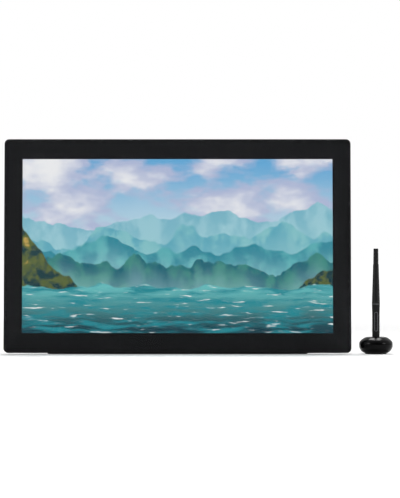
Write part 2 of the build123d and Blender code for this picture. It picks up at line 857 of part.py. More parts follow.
# Keys: a cap that stands out of the back, a flange that keeps it in and a stem over its switch
key_names = ["brightness_down_button", "brightness_up_button", "menu_button", "power_button"]
for index, place in enumerate(key_places):
    name = key_names[index % len(key_names)]
    cap_radius = power_key_radius if index == key_count - 1 else key_radius
    flange_back = cover_inside - seat_gap
    flange_front = flange_back - key_flange_thickness
    stem_front = board_back + switch_height + key_travel + fit_gap
    with BuildPart() as key:
        add_rounds([place], flange_back, case_thickness + key_proud, cap_radius)
        fillet(key.faces().sort_by(face_axis)[0].edges(), key_proud / 2)
        add_rounds([place], flange_front, flange_back, cap_radius + key_flange)
        add_rounds([place], stem_front, flange_front, key_stem_radius)
    save(key, name)

# Hinge brackets: a plate on the chassis and an ear beside the leg's arm
for side, name in ((-1, "left_hinge_bracket"), (1, "right_hinge_bracket")):
    middle = side * arm_place
    ear_inner = middle - side * (leg_arm_width / 2 + hinge_washer_thickness + 2 * fit_gap)
    plate_back = chassis_back + bracket_plate_thickness
    with BuildPart() as bracket:
        low = (middle - hinge_half + seat_gap, recess_low + seat_gap)
        high = (middle + hinge_half - seat_gap, hinge_top - seat_gap)
        add_block(chassis_back, plate_back, low, high)
        with BuildSketch(side_plane(ear_inner, hinge_height, hinge_depth)) as ear:
            Circle(hinge_pin_head_radius)
        extrude(ear.sketch, amount=-side * hinge_ear_thickness)
        ear_ends = sorted((ear_inner, ear_inner - side * hinge_ear_thickness))
        low = (ear_ends[0], hinge_height - hinge_pin_head_radius)
        high = (ear_ends[1], hinge_height + hinge_pin_head_radius)
        add_block(chassis_back, hinge_depth, low, high)
        with BuildSketch(side_plane(ear_inner, hinge_height, hinge_depth)) as ear_hole:
            Circle(hinge_pin_radius + fit_gap)
        extrude(ear_hole.sketch, amount=-side * hinge_ear_thickness, mode=Mode.SUBTRACT)
        add_rounds(bracket_places, chassis_back, plate_back, bracket_hole, mode=Mode.SUBTRACT)
    save(bracket, name)

with BuildPart() as bracket_screws:
    add_screws(
        bracket_places,
        plate_back,
        plate_back - chassis_front,
        bracket_screw_radius,
        bracket_screw_head_radius,
        bracket_screw_head_height,
    )
save(bracket_screws, "bracket_screws")

# Hinge pins, each fixed in its ear, with its head outside the arm, and washers on both sides
with BuildPart() as hinge_pins:
    for side in (-1, 1):
        inner = side * (arm_place - leg_arm_width / 2 - hinge_washer_thickness - 2 * fit_gap)
        inner = inner - side * hinge_ear_thickness
        outer = side * (arm_place + leg_arm_width / 2 + hinge_washer_thickness + 2 * fit_gap)
        with BuildSketch(side_plane(inner, hinge_height, hinge_depth)) as shank:
            Circle(hinge_pin_radius)
        extrude(shank.sketch, amount=outer - inner)
        with BuildSketch(side_plane(outer, hinge_height, hinge_depth)) as head:
            Circle(hinge_pin_head_radius)
        extrude(head.sketch, amount=side * hinge_pin_head_thickness)
save(hinge_pins, "hinge_pins")

with BuildPart() as hinge_washers:
    for side in (-1, 1):
        for flank in (-1, 1):
            near = side * arm_place + flank * (leg_arm_width / 2 + fit_gap)
            with BuildSketch(side_plane(near, hinge_height, hinge_depth)) as washer:
                Circle(hinge_washer_radius)
                Circle(hinge_pin_radius + fit_gap, mode=Mode.SUBTRACT)
            extrude(washer.sketch, amount=flank * hinge_washer_thickness)
save(hinge_washers, "hinge_washers")

# Rear leg: two arms on the hinge line and a crossbar, and the rubber strip that it stands on
leg_plane = Plane(
    origin=face_point(0, hinge_height, hinge_depth),
    x_dir=(1, 0, 0),
    z_dir=(0, math.sin(leg_drop), math.cos(leg_drop)),
)
leg_under = leg_plane.offset(-leg_thickness / 2)
leg_half = arm_place + leg_arm_width / 2
with BuildPart() as rear_leg:
    with BuildSketch(leg_under) as leg_outline:
        with Locations((0, leg_length / 2)):
            Rectangle(2 * leg_half, leg_length)
        fillet(leg_outline.vertices().group_by(Axis.Y)[-1], leg_corner_radius)
        with BuildSketch(mode=Mode.PRIVATE) as between_arms:
            with Locations((0, (leg_length - leg_bar_width) / 2)):
                Rectangle(leg_span - leg_arm_width, leg_length - leg_bar_width)
            fillet(between_arms.vertices().group_by(Axis.Y)[-1], leg_inner_radius)
        add(between_arms.sketch, mode=Mode.SUBTRACT)
    extrude(leg_outline.sketch, amount=leg_thickness)
    long_edges = rear_leg.faces().sort_by(Axis(leg_plane.origin, leg_plane.z_dir))
    fillet(long_edges[0].edges() + long_edges[-1].edges(), leg_edge_round)
    for side in (-1, 1):
        start = side * arm_place - leg_arm_width / 2
        with BuildSketch(side_plane(start, hinge_height, hinge_depth)) as knuckle:
            Circle(leg_thickness / 2)
        extrude(knuckle.sketch, amount=leg_arm_width)
        with BuildSketch(side_plane(start, hinge_height, hinge_depth)) as pin_bore:
            Circle(hinge_pin_radius + fit_gap)
        extrude(pin_bore.sketch, amount=leg_arm_width, mode=Mode.SUBTRACT)
save(rear_leg, "rear_leg")

foot_plane = Plane(
    origin=leg_plane.from_local_coords((0, leg_length, 0)),
    x_dir=(1, 0, 0),
    z_dir=leg_plane.y_dir,
)
with BuildPart() as leg_foot:
    with BuildSketch(foot_plane) as strip:
        Rectangle(2 * (leg_half - leg_foot_side_inset), leg_thickness - 2 * leg_edge_round)
    extrude(strip.sketch, amount=leg_foot_thickness)
    neck = leg_foot_thickness * leg_foot_neck_share
    with BuildSketch(foot_plane.offset(neck)) as bulge:
        Rectangle(2 * (leg_half - leg_foot_side_inset), leg_thickness)
    extrude(bulge.sketch, amount=leg_foot_thickness - neck)
    split(bisect_by=Plane.XY, keep=Keep.TOP)
save(leg_foot, "leg_foot")

# Pen and holder stand on one upright axis, a gap away from the display's side
holder_offset = case_width / 2 + holder_gap + holder_radius
pen_axis = Axis((holder_offset, 0, 0), (0, 0, 1))
pen_section = Plane(origin=(holder_offset, 0, 0), x_dir=(1, 0, 0), z_dir=(0, -1, 0))


def add_ring(low, high, outer, inner=0, mode=Mode.ADD):
    """A plain disc or ring about the pen's axis, between two heights."""
    with BuildSketch(Plane.XY.offset(low)) as ring:
        with Locations((holder_offset, 0)):
            Circle(outer)
            if inner > 0:
                Circle(inner, mode=Mode.SUBTRACT)
    extrude(ring.sketch, amount=high - low, mode=mode)


def add_turned(points, mode=Mode.ADD):
    """An outline of straight lines, given as radius and height, turned about the pen's axis."""
    with BuildSketch(pen_section) as section:
        with BuildLine():
            Polyline(*points, close=True)
        make_face()
    revolve(section.sketch, axis=pen_axis, mode=mode)


# Heights along the pen, from the nib's tip in the holder to the tail
nose_low = pen_tip_height + nib_exposed
nose_high = nose_low + nose_length
grip_high = nose_high + grip_length
pen_ring_high = grip_high + pen_ring_height
barrel_high = pen_ring_high + barrel_length
tail_high = barrel_high + tail_length
core_radius = grip_radius - grip_wall - fit_gap
core_bore = core_radius - core_wall
core_low = nose_high + fit_gap
core_floor_high = core_low + core_floor
core_high = pen_ring_high + core_spigot
nib_bore = nib_radius + nib_bore_gap
nose_slope = (grip_radius - nose_tip_radius) / nose_length


def nose_radius(height):
    """The nose cone's outer radius at a height."""
    return nose_tip_radius + (height - nose_low) * nose_slope


# Holder base: the lower half of the ring, with a column that the pen's tip stands in
base_low = holder_pad_proud
pad_high = holder_pad_thickness
floor_high = pad_high + holder_floor
base_high = holder_waist_height - holder_seam_gap / 2
lid_low = holder_waist_height + holder_seam_gap / 2
inside_radius = holder_radius - holder_wall
outer_foot = (holder_base_radius, base_low)
inner_foot = (holder_base_radius, floor_high)
lower_outer = []
lower_inner = []
for across_share, up_share in holder_lower_shares:
    across = holder_base_radius + (holder_radius - holder_base_radius) * across_share
    lower_outer.append((across, base_low + (base_high - base_low) * up_share))
    across = holder_base_radius + (inside_radius - holder_base_radius) * across_share
    lower_inner.append((across, floor_high + (base_high - floor_high) * up_share))
with BuildPart() as holder_base:
    with BuildSketch(pen_section) as section:
        with BuildLine():
            Spline(outer_foot, *lower_outer, (holder_radius, base_high))
            Polyline((holder_radius, base_high), (0, base_high), (0, base_low), outer_foot)
        make_face()
    revolve(section.sketch, axis=pen_axis)
    with BuildSketch(pen_section) as hollow:
        with BuildLine():
            Spline(inner_foot, *lower_inner, (inside_radius, base_high))
            top_inner = (holder_column_radius, base_high)
            foot_inner = (holder_column_radius, floor_high)
            Polyline((inside_radius, base_high), top_inner, foot_inner, inner_foot)
        make_face()
    revolve(hollow.sketch, axis=pen_axis, mode=Mode.SUBTRACT)
    pad_radius_hole = holder_base_radius - holder_pad_inset + fit_gap
    add_ring(base_low, pad_high, pad_radius_hole, mode=Mode.SUBTRACT)
    column_floor = base_high - holder_column_depth
    add_ring(column_floor, base_high, holder_column_bore, mode=Mode.SUBTRACT)
    lip_outer = inside_radius - holder_lip_gap
    lip_inner = lip_outer - holder_lip_thickness
    add_ring(base_high - holder_lip_root, base_high, inside_radius + fit_gap, lip_inner)
    add_ring(base_high, base_high + holder_lip_height, lip_outer, lip_inner)
save(holder_base, "holder_base")

# Soft pad under the holder, and the steel ring that weighs it down
with BuildPart() as holder_foot_pad:
    add_ring(0, pad_high, holder_base_radius - holder_pad_inset)
save(holder_foot_pad, "holder_foot_pad")

ring_bore = holder_column_radius + pen_part_gap
weight_low = floor_high + pen_part_gap
weight_high = weight_low + weight_height
with BuildPart() as holder_weight:
    weight_points = (
        (ring_bore, weight_low),
        (holder_base_radius - holder_wall / 2, weight_low),
        (inside_radius * weight_flare_share, weight_high),
        (ring_bore, weight_high),
    )
    add_turned(weight_points)
save(holder_weight, "holder_weight")

# Tray with spare nibs standing in it
tray_low = weight_high + pen_part_gap
tray_high = tray_low + nib_tray_height
nib_low = tray_high - nib_hole_depth
with BuildPart() as nib_tray:
    add_ring(tray_low, tray_high, inside_radius - nib_tray_inset, ring_bore)
    with BuildSketch(Plane.XY.offset(nib_low)) as nib_holes:
        with Locations((holder_offset, 0)):
            with PolarLocations(nib_circle_radius, nib_count):
                Circle(nib_radius + fit_gap)
    extrude(nib_holes.sketch, amount=nib_hole_depth, mode=Mode.SUBTRACT)
save(nib_tray, "nib_tray")

with BuildPart() as spare_nibs:
    with BuildSketch(Plane.XY.offset(nib_low + fit_gap)) as nibs:
        with Locations((holder_offset, 0)):
            with PolarLocations(nib_circle_radius, nib_count):
                Circle(nib_radius)
    extrude(nibs.sketch, amount=spare_nib_length)
save(spare_nibs, "spare_nibs")

# Holder lid: the upper half of the ring, whose centre is a funnel that the pen's nose rests in
funnel_high = lid_low + (nose_high - lid_low) * funnel_seat_share
funnel_foot = (nose_radius(lid_low) + funnel_gap, lid_low)
funnel_mouth = (nose_radius(funnel_high) + funnel_gap, funnel_high)
crest = (holder_crest_radius, holder_height)
upper_points = []
for across_share, up_share in holder_upper_shares:
    across = holder_crest_radius + (holder_radius - holder_crest_radius) * across_share
    upper_points.append((across, lid_low + (holder_height - lid_low) * up_share))
inner_rise = holder_height - holder_wall - lid_low
inner_points = []
for across_share, up_share in holder_upper_shares:
    across = holder_crest_radius + (inside_radius - holder_crest_radius) * across_share
    inner_points.append((across, lid_low + inner_rise * up_share))
funnel_outside = funnel_mouth[0] + funnel_wall
with BuildPart() as holder_lid:
    with BuildSketch(pen_section) as section:
        with BuildLine():
            Spline((holder_radius, lid_low), *upper_points, crest, tangents=((0, 1), (-1, 0)))
            Spline(crest, funnel_mouth, tangents=((-1, 0), (-nose_slope, -1)))
            Polyline(funnel_mouth, funnel_foot, (holder_radius, lid_low))
        make_face()
    revolve(section.sketch, axis=pen_axis)
    with BuildSketch(pen_section) as hollow:
        with BuildLine():
            inner_crest = (holder_crest_radius, lid_low + inner_rise)
            start = (inside_radius, lid_low)
            Spline(start, *inner_points, inner_crest, tangents=((0, 1), (-1, 0)))
            shoulder = (funnel_outside, funnel_high - funnel_wall / 2)
            Polyline(inner_crest, shoulder, (funnel_outside, lid_low), start)
        make_face()
    revolve(hollow.sketch, axis=pen_axis, mode=Mode.SUBTRACT)
save(holder_lid, "holder_lid")

# Pen nose: a hollow cone with a straight bore for the nib
hollow_low = nose_low + nose_solid_length
with BuildPart() as pen_nose_cone:
    nose_points = (
        (nib_bore, nose_low),
        (nose_tip_radius, nose_low),
        (grip_radius, nose_high),
        (nose_radius(nose_high) - nose_wall, nose_high),
        (nose_radius(hollow_low) - nose_wall, hollow_low),
        (nib_bore, hollow_low),
    )
    add_turned(nose_points)
save(pen_nose_cone, "pen_nose_cone")

with BuildPart() as pen_nib:
    add_ring(pen_tip_height, pen_tip_height + nib_length, nib_radius)
    fillet(pen_nib.edges().sort_by(Axis.Z)[0], nib_round)
save(pen_nib, "pen_nib")

# Coil wound on a ferrite tube round the nib
coil_reach = coil_radius + nose_wall + pen_part_gap
coil_low = nose_low + (coil_reach - nose_tip_radius) / nose_slope
with BuildPart() as pen_coil:
    add_ring(hollow_low + fit_gap, core_floor_high, ferrite_radius, nib_bore)
    add_ring(coil_low, nose_high - coil_end_gap, coil_radius, nib_bore)
save(pen_coil, "pen_coil")

# Inner tube of the pen, with a floor round the ferrite tube and a slot for the buttons
bezel_middle = pen_tip_height + bezel_centre_height
slot_gap = pen_part_gap
button_front = Plane(origin=(holder_offset, 0, bezel_middle), x_dir=(0, 0, 1), z_dir=(0, -1, 0))
with BuildPart() as pen_core:
    add_ring(core_low, core_high, core_radius, core_bore)
    add_ring(core_low, core_floor_high, core_radius, ferrite_radius + pen_part_gap)
    with BuildSketch(button_front) as slot:
        SlotOverall(bezel_length + 2 * slot_gap, bezel_width + 2 * slot_gap)
    extrude(slot.sketch, amount=grip_radius, mode=Mode.SUBTRACT)
save(pen_core, "pen_core")

with BuildPart() as pen_grip:
    grip_points = (
        (core_radius + fit_gap, nose_high),
        (grip_radius, nose_high),
        (grip_radius, nose_high + grip_length * grip_flare_share),
        (grip_top_radius, grip_high),
        (core_radius + fit_gap, grip_high),
    )
    add_turned(grip_points)
    with BuildSketch(button_front) as slot:
        SlotOverall(bezel_length + 2 * slot_gap, bezel_width + 2 * slot_gap)
    extrude(slot.sketch, amount=2 * grip_radius, mode=Mode.SUBTRACT)
save(pen_grip, "pen_grip")

with BuildPart() as pen_ring:
    ring_radius = grip_top_radius + pen_ring_proud
    add_ring(grip_high, pen_ring_high, ring_radius, core_radius + fit_gap)
save(pen_ring, "pen_ring")

# Barrel: it is widest at the ring and tapers to the tail
barrel_points = [(barrel_radius, pen_ring_high)]
for up_share, width_share in barrel_shape_shares:
    barrel_points.append((barrel_radius * width_share, pen_ring_high + barrel_length * up_share))
barrel_end_radius = barrel_radius * barrel_end_share
barrel_points.append((barrel_end_radius, barrel_high))
spigot_room = core_high + pen_part_gap
with BuildPart() as pen_barrel:
    with BuildSketch(pen_section) as section:
        with BuildLine():
            Spline(*barrel_points)
            bore_points = (
                (barrel_end_radius, barrel_high),
                (barrel_bore, barrel_high),
                (barrel_bore, spigot_room),
                (core_radius + fit_gap, spigot_room),
                (core_radius + fit_gap, pen_ring_high),
                barrel_points[0],
            )
            Polyline(*bore_points)
        make_face()
    revolve(section.sketch, axis=pen_axis)
save(pen_barrel, "pen_barrel")

# Tail: a tapered end piece with a groove under its crown and a dip in its top
tail_foot_radius = barrel_end_radius * tail_start_share
tail_top_radius = barrel_end_radius * tail_end_share
crown_low = tail_high - tail_crown_height
groove_floor = tail_top_radius - tail_groove_depth
with BuildPart() as pen_tail_cap:
    tail_points = (
        (0, barrel_high),
        (tail_foot_radius, barrel_high),
        (tail_top_radius, tail_high),
        (0, tail_high),
    )
    add_turned(tail_points)
    fillet(pen_tail_cap.edges().sort_by(Axis.Z)[-1], tail_round)
    groove_high = crown_low + tail_groove_height
    add_ring(crown_low, groove_high, tail_foot_radius, groove_floor, mode=Mode.SUBTRACT)
    add_ring(tail_high - tail_dip_depth, tail_high, tail_dip_radius, mode=Mode.SUBTRACT)
    add_ring(barrel_high - tail_spigot, barrel_high, barrel_bore - fit_gap)
save(pen_tail_cap, "pen_tail_cap")

# Pressure sensor at the nib's end, and the circuit board with the two button switches
sensor_low = core_floor_high + pen_part_gap
sensor_high = sensor_low + pressure_sensor_length
with BuildPart() as pen_pressure_sensor:
    add_ring(sensor_low, sensor_high, pressure_sensor_radius)
    nib_room = pen_tip_height + nib_length + nib_travel + pressure_sensor_hole_gap
    add_ring(sensor_low, nib_room, nib_bore, mode=Mode.SUBTRACT)
save(pen_pressure_sensor, "pen_pressure_sensor")

button_length = (bezel_length - 2 * bezel_wall - 2 * pen_button_gap - pen_button_split) / 2
button_width = bezel_width - 2 * bezel_wall - 2 * pen_button_gap
button_step = (button_length + pen_button_split) / 2
board_face = button_front.offset(pen_board_thickness / 2)
with BuildPart() as pen_circuit_board:
    with BuildSketch(Plane.XY.offset(sensor_high + pen_part_gap)) as board_end:
        with Locations((holder_offset, 0)):
            Rectangle(pen_board_width, pen_board_thickness)
    extrude(board_end.sketch, amount=pen_board_length)
    with BuildSketch(board_face) as switches:
        with Locations((-button_step, 0), (button_step, 0)):
            Rectangle(pen_switch_size, pen_switch_size)
    extrude(switches.sketch, amount=pen_switch_height)
save(pen_circuit_board, "pen_circuit_board")

# Bezel round the two side buttons, and the buttons, all rounded like the grip
bezel_outside = grip_radius + bezel_proud
with BuildPart() as pen_button_bezel:
    with BuildSketch(button_front.offset(bezel_outside - bezel_depth)) as bezel_shape:
        SlotOverall(bezel_length, bezel_width)
        SlotOverall(bezel_length - 2 * bezel_wall, bezel_width - 2 * bezel_wall, mode=Mode.SUBTRACT)
    extrude(bezel_shape.sketch, amount=bezel_depth)
    add_ring(nose_high, grip_high, bezel_outside, mode=Mode.INTERSECT)
save(pen_button_bezel, "pen_button_bezel")

button_outside = grip_radius + pen_button_proud
button_root = button_outside - pen_button_height
stem_root = pen_board_thickness / 2 + pen_switch_height + pen_button_travel + fit_gap
for name, direction in (("pen_lower_button", -1), ("pen_upper_button", 1)):
    with BuildPart() as pen_button:
        with BuildSketch(button_front.offset(button_root)) as button_shape:
            slot_length = bezel_length - 2 * bezel_wall - 2 * pen_button_gap
            SlotOverall(slot_length, button_width)
            with Locations((direction * button_step, 0)):
                Rectangle(button_length, button_width, mode=Mode.INTERSECT)
        extrude(button_shape.sketch, amount=pen_button_height)
        add_ring(nose_high, grip_high, button_outside, mode=Mode.INTERSECT)
        with BuildSketch(button_front.offset(stem_root)) as stem:
            with Locations((direction * button_step, 0)):
                Rectangle(pen_button_stem, pen_button_stem)
        extrude(stem.sketch, amount=button_root - stem_root)
    save(pen_button, name)
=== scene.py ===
import json
import math

import bmesh
import bpy
from mathutils import Matrix, Vector


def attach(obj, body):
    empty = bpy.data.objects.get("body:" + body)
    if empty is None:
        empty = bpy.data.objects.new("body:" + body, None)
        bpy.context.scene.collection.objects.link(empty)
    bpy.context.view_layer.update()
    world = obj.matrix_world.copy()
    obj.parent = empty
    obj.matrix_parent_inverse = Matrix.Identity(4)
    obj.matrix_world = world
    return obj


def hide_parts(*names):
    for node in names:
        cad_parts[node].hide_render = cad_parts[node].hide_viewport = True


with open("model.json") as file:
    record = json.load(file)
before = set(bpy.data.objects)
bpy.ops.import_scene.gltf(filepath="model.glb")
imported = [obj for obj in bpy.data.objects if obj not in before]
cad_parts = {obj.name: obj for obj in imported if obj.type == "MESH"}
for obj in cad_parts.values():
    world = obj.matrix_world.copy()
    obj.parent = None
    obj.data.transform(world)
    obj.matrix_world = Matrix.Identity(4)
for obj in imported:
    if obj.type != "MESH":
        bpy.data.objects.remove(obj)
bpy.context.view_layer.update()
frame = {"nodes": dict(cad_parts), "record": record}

# A pen display that leans back on its folding rear leg, with its pen standing in a round holder.
# Everything is in metres. The display's own directions are across it, up its face and back from
# its face, and its face begins at the bottom edge of the case.
MM = 0.001
LEAN = math.radians(5.0)
FOOT_PROUD = 1.6 * MM
FOOT_DEPTH = 13.8 * MM
SCREEN_WIDTH = 526.85 * MM
SCREEN_HEIGHT = 296.35 * MM
BOTTOM_BEZEL = 33.1 * MM
WINDOW_MARGIN = 1.2 * MM

# The sheet that carries the picture: how deep it lies behind the glass's face, how thick it is, and
# how far its picture is sunk below the strip round it
SHEET_DEPTH = 1.85 * MM
SHEET_THICKNESS = 0.4 * MM
PICTURE_SUNK = 0.02 * MM

CAMERA_PLACE = (0.0382, -5.0, 0.1779)
CAMERA_SENSOR = 36.0
CAMERA_LENS = 213.1
CAMERA_CLIP_END = 200.0

# Floor, a disc that lies a hair below the feet, and its glow by the distance from the top light's foot
FLOOR_RADIUS = 40.0
FLOOR_SIDES = 96
FLOOR_DROP = 0.05 * MM
GLOW_FROM, GLOW_TO = 0.7, 2.5
GLOW_LEAST, GLOW_MOST = 0.05, 0.8

# Strength of the world in gloss, behind the camera and elsewhere, and the parts of a direction's
# length along Y between which it changes. Then the strength for all other light
GLOSS_BEHIND, GLOSS_ELSEWHERE = 0.16, 0.8
BEHIND_ALONG, ELSEWHERE_ALONG = -0.95, -0.2
ROOM_LIGHT = 0.26
WHITE = (1, 1, 1, 1)

# Soft lamps: name, place, width, height and watts, all facing one point
TOP_LIGHT = (0.22, 0.85, 2.7)
LAMP_TARGET = (0.1, 0, 0.1)
LAMPS = (
    ("top_light", TOP_LIGHT, 1.7, 1.0, 67.0),
    ("left_fill", (-1.7, -1.3, 0.9), 0.6, 0.6, 10.0),
    ("right_fill", (2.3, -1.25, 0.9), 0.6, 0.6, 10.0),
)

# Sockets of the mix node, which go by number: its share, its two numbers and its two colours
SHARE, FIRST_NUMBER, SECOND_NUMBER, FIRST_COLOUR, SECOND_COLOUR = 0, 2, 3, 6, 7
COLOUR_RESULT = 2

scene = bpy.context.scene
face_up = Vector((0, math.sin(LEAN), math.cos(LEAN)))
face_out = Vector((0, -math.cos(LEAN), math.sin(LEAN)))
face_origin = face_up * FOOT_PROUD + face_out * FOOT_DEPTH


def face_frame(across, height, depth):
    """The matrix that puts a flat piece, drawn in X and Y, on the display at a place and depth."""
    turn = Matrix((Vector((1, 0, 0)), face_up, face_out)).transposed().to_4x4()
    place = face_origin + Vector((across, 0, 0)) + face_up * height - face_out * depth
    return Matrix.Translation(place) @ turn


# Camera, level with the middle of the photograph
camera_data = bpy.data.cameras.new("front_camera")
camera_data.sensor_width = CAMERA_SENSOR
camera_data.lens = CAMERA_LENS
camera_data.clip_end = CAMERA_CLIP_END
camera = bpy.data.objects.new("front_camera", camera_data)
camera.location = CAMERA_PLACE
camera.rotation_euler = (math.radians(90), 0, 0)
scene.collection.objects.link(camera)
scene.camera = camera


# Materials
def linear(code):
    """An sRGB hex colour as the linear values that Blender's sockets take."""
    channels = [int(code[i : i + 2], 16) / 255 for i in (1, 3, 5)]
    return (*(c / 12.92 if c <= 0.04045 else ((c + 0.055) / 1.055) ** 2.4 for c in channels), 1.0)


def add_node(tree, kind, settings=None, links=None):
    """Adds a node, sets its properties, then its inputs, and links inputs to other nodes' outputs."""
    node = tree.nodes.new(kind)
    settings = settings or {}
    properties = [key for key in settings if isinstance(key, str) and key in node.bl_rna.properties]
    for key in properties:
        setattr(node, key, settings[key])
    for key in settings:
        if key not in properties:
            node.inputs[key].default_value = settings[key]
    for key, socket in (links or {}).items():
        tree.links.new(socket, node.inputs[key])
    return node


def new_material(name):
    """An empty node material with its one shader, and the object coordinates of what it is on."""
    material = bpy.data.materials.new(name)
    material.use_nodes = True
    tree = material.node_tree
    tree.nodes.clear()
    shader = add_node(tree, "ShaderNodeBsdfPrincipled")
    add_node(tree, "ShaderNodeOutputMaterial", links={"Surface": shader.outputs[0]})
    coordinates = add_node(tree, "ShaderNodeTexCoord").outputs["Object"]
    return material, tree, shader, coordinates


def per_metre(millimetres):
    """A noise scale whose marks are this many millimetres across."""
    return 1.0 / (millimetres * MM)


def surface(name, dark, light, rough, spread, mottle_mm, grain_mm, relief_mm, stretch=(1, 1, 1), **sockets):
    """A made surface: two near tones in soft patches, uneven roughness, and a fine grain in relief."""
    material, tree, shader, coordinates = new_material(name)
    patches = add_node(
        tree, "ShaderNodeTexNoise", {"Scale": per_metre(mottle_mm), "Detail": 3.0}, {"Vector": coordinates}
    )
    tone = add_node(
        tree,
        "ShaderNodeMix",
        {"data_type": "RGBA", FIRST_COLOUR: linear(dark), SECOND_COLOUR: linear(light)},
        {SHARE: patches.outputs["Fac"]},
    )
    tree.links.new(tone.outputs[COLOUR_RESULT], shader.inputs["Base Color"])
    drawn = add_node(tree, "ShaderNodeMapping", {"Scale": stretch}, {"Vector": coordinates})
    grain = add_node(
        tree,
        "ShaderNodeTexNoise",
        {"Scale": per_metre(grain_mm), "Detail": 2.0},
        {"Vector": drawn.outputs[0]},
    )
    roughness = add_node(
        tree,
        "ShaderNodeMapRange",
        {"From Min": 0.3, "From Max": 0.7, "To Min": rough - spread, "To Max": rough + spread},
        {"Value": patches.outputs["Fac"]},
    )
    tree.links.new(roughness.outputs[0], shader.inputs["Roughness"])
    relief = add_node(
        tree,
        "ShaderNodeBump",
        {"Strength": 0.6, "Distance": relief_mm * MM},
        {"Height": grain.outputs["Fac"]},
    )
    tree.links.new(relief.outputs[0], shader.inputs["Normal"])
    for socket, value in sockets.items():
        shader.inputs[socket.replace("_", " ")].default_value = value
    return material


# Anti-glare glass, acid etched on its front: it hardly shows itself, but lays an even dark grey
# haze over the black border and takes the sharpness out of reflections.
etched_glass = surface(
    "etched_anti_glare_glass", "#686a6e", "#6d6f73",
    rough=0.42, spread=0.02, mottle_mm=90, grain_mm=0.35, relief_mm=0.002,
    Alpha=0.1, Specular_IOR_Level=0.12,
)
etched_glass.surface_render_method = "DITHERED"

# Ceramic ink, screen printed on the glass: dense, dead black, with a faint unevenness of the coat.
border_ink = surface(
    "screen_printed_black_ink", "#0c0c0d", "#101011",
    rough=0.5, spread=0.05, mottle_mm=40, grain_mm=0.6, relief_mm=0.004,
    Specular_IOR_Level=0.05,
)

# Optical gel between glass and screen: clear and colourless.
clear_gel = surface(
    "clear_optical_gel", "#e6eaec", "#eef1f2",
    rough=0.08, spread=0.02, mottle_mm=60, grain_mm=4, relief_mm=0.002,
    Alpha=0.06, IOR=1.41,
)

# Black matrix of the screen round its picture: a thin line darker than the ink beside it.
black_matrix = surface(
    "screen_black_matrix", "#020203", "#040405",
    rough=0.3, spread=0.03, mottle_mm=30, grain_mm=0.5, relief_mm=0.002,
    Specular_IOR_Level=0.05,
)

# Foam tape: matt black with open pores.
foam_tape = surface(
    "black_foam_tape", "#131313", "#1c1c1c",
    rough=0.85, spread=0.05, mottle_mm=8, grain_mm=0.5, relief_mm=0.08,
)

# Backlight films: milky polyester with a very fine ribbing.
backlight_film = surface(
    "polyester_diffuser_film", "#dfe3e6", "#f0f2f3",
    rough=0.45, spread=0.05, mottle_mm=50, grain_mm=0.3, relief_mm=0.01, stretch=(1, 12, 12),
)

# Light guide: clear acrylic, nearly white with a faint cool cast.
acrylic_guide = surface(
    "moulded_clear_acrylic", "#dfe8ea", "#eef4f4",
    rough=0.12, spread=0.04, mottle_mm=50, grain_mm=1.5, relief_mm=0.004,
    IOR=1.49,
)

# Inner frames of glass-filled plastic: grey black, with flow marks and a rough sheen.
inner_plastic = surface(
    "glass_filled_black_plastic", "#17181a", "#232427",
    rough=0.55, spread=0.08, mottle_mm=12, grain_mm=0.5, relief_mm=0.03,
)

# White-coated tray of the backlight: powder paint on aluminium.
tray_paint = surface(
    "white_powder_coat", "#d8dadc", "#eceded",
    rough=0.5, spread=0.06, mottle_mm=30, grain_mm=0.8, relief_mm=0.03,
)

# Circuit boards: green solder mask over copper, seen as two greens, with a soft gloss.
solder_mask = surface(
    "green_solder_mask", "#0d3a24", "#1c5c38",
    rough=0.32, spread=0.08, mottle_mm=4, grain_mm=1.2, relief_mm=0.03,
)

# Shield and chassis: galvanised sheet steel with its cloudy zinc flowers.
zinc_sheet = surface(
    "galvanised_sheet_steel", "#8f9396", "#b4b8bb",
    rough=0.38, spread=0.1, mottle_mm=9, grain_mm=1.0, relief_mm=0.01,
    Metallic=1.0,
)

# Front frame: moulded ABS with a fine spark-eroded texture, so it is black with a soft edge of light.
case_plastic = surface(
    "textured_black_abs", "#090909", "#0d0d0e",
    rough=0.44, spread=0.05, mottle_mm=35, grain_mm=0.35, relief_mm=0.02,
    Specular_IOR_Level=0.3,
)

# Rear cover: bead-blasted aluminium, anodised black, a soft charcoal sheen with a fine sparkle.
blasted_cover = surface(
    "bead_blasted_black_aluminium", "#1d1e20", "#26282a",
    rough=0.46, spread=0.05, mottle_mm=70, grain_mm=0.6, relief_mm=0.03,
    Metallic=0.85,
)

# Rear leg: extruded aluminium, brushed along its arms and anodised black.
brushed_leg = surface(
    "brushed_black_aluminium", "#1f2022", "#303235",
    rough=0.36, spread=0.06, mottle_mm=30, grain_mm=0.5, relief_mm=0.02, stretch=(1, 0.04, 1),
    Metallic=0.9,
)

# Hinge parts: nickel-plated steel with turning marks.
plated_steel = surface(
    "nickel_plated_steel", "#a9abad", "#c6c8ca",
    rough=0.26, spread=0.07, mottle_mm=5, grain_mm=0.4, relief_mm=0.008,
    Metallic=1.0,
)

# Screws: black oxide on steel, an oily dark grey.
oxide_screw = surface(
    "black_oxide_steel", "#1a1a1c", "#2c2c2f",
    rough=0.34, spread=0.08, mottle_mm=2, grain_mm=0.3, relief_mm=0.01,
    Metallic=0.8,
)

# Threaded inserts: turned brass, dulled in the grooves.
turned_brass = surface(
    "turned_brass", "#8f6a32", "#c49a55",
    rough=0.3, spread=0.08, mottle_mm=3, grain_mm=0.3, relief_mm=0.01,
    Metallic=1.0,
)

# Feet and pads: matt silicone rubber that holds a little dust.
silicone_rubber = surface(
    "matt_black_silicone", "#191919", "#262626",
    rough=0.82, spread=0.06, mottle_mm=10, grain_mm=0.5, relief_mm=0.04,
)

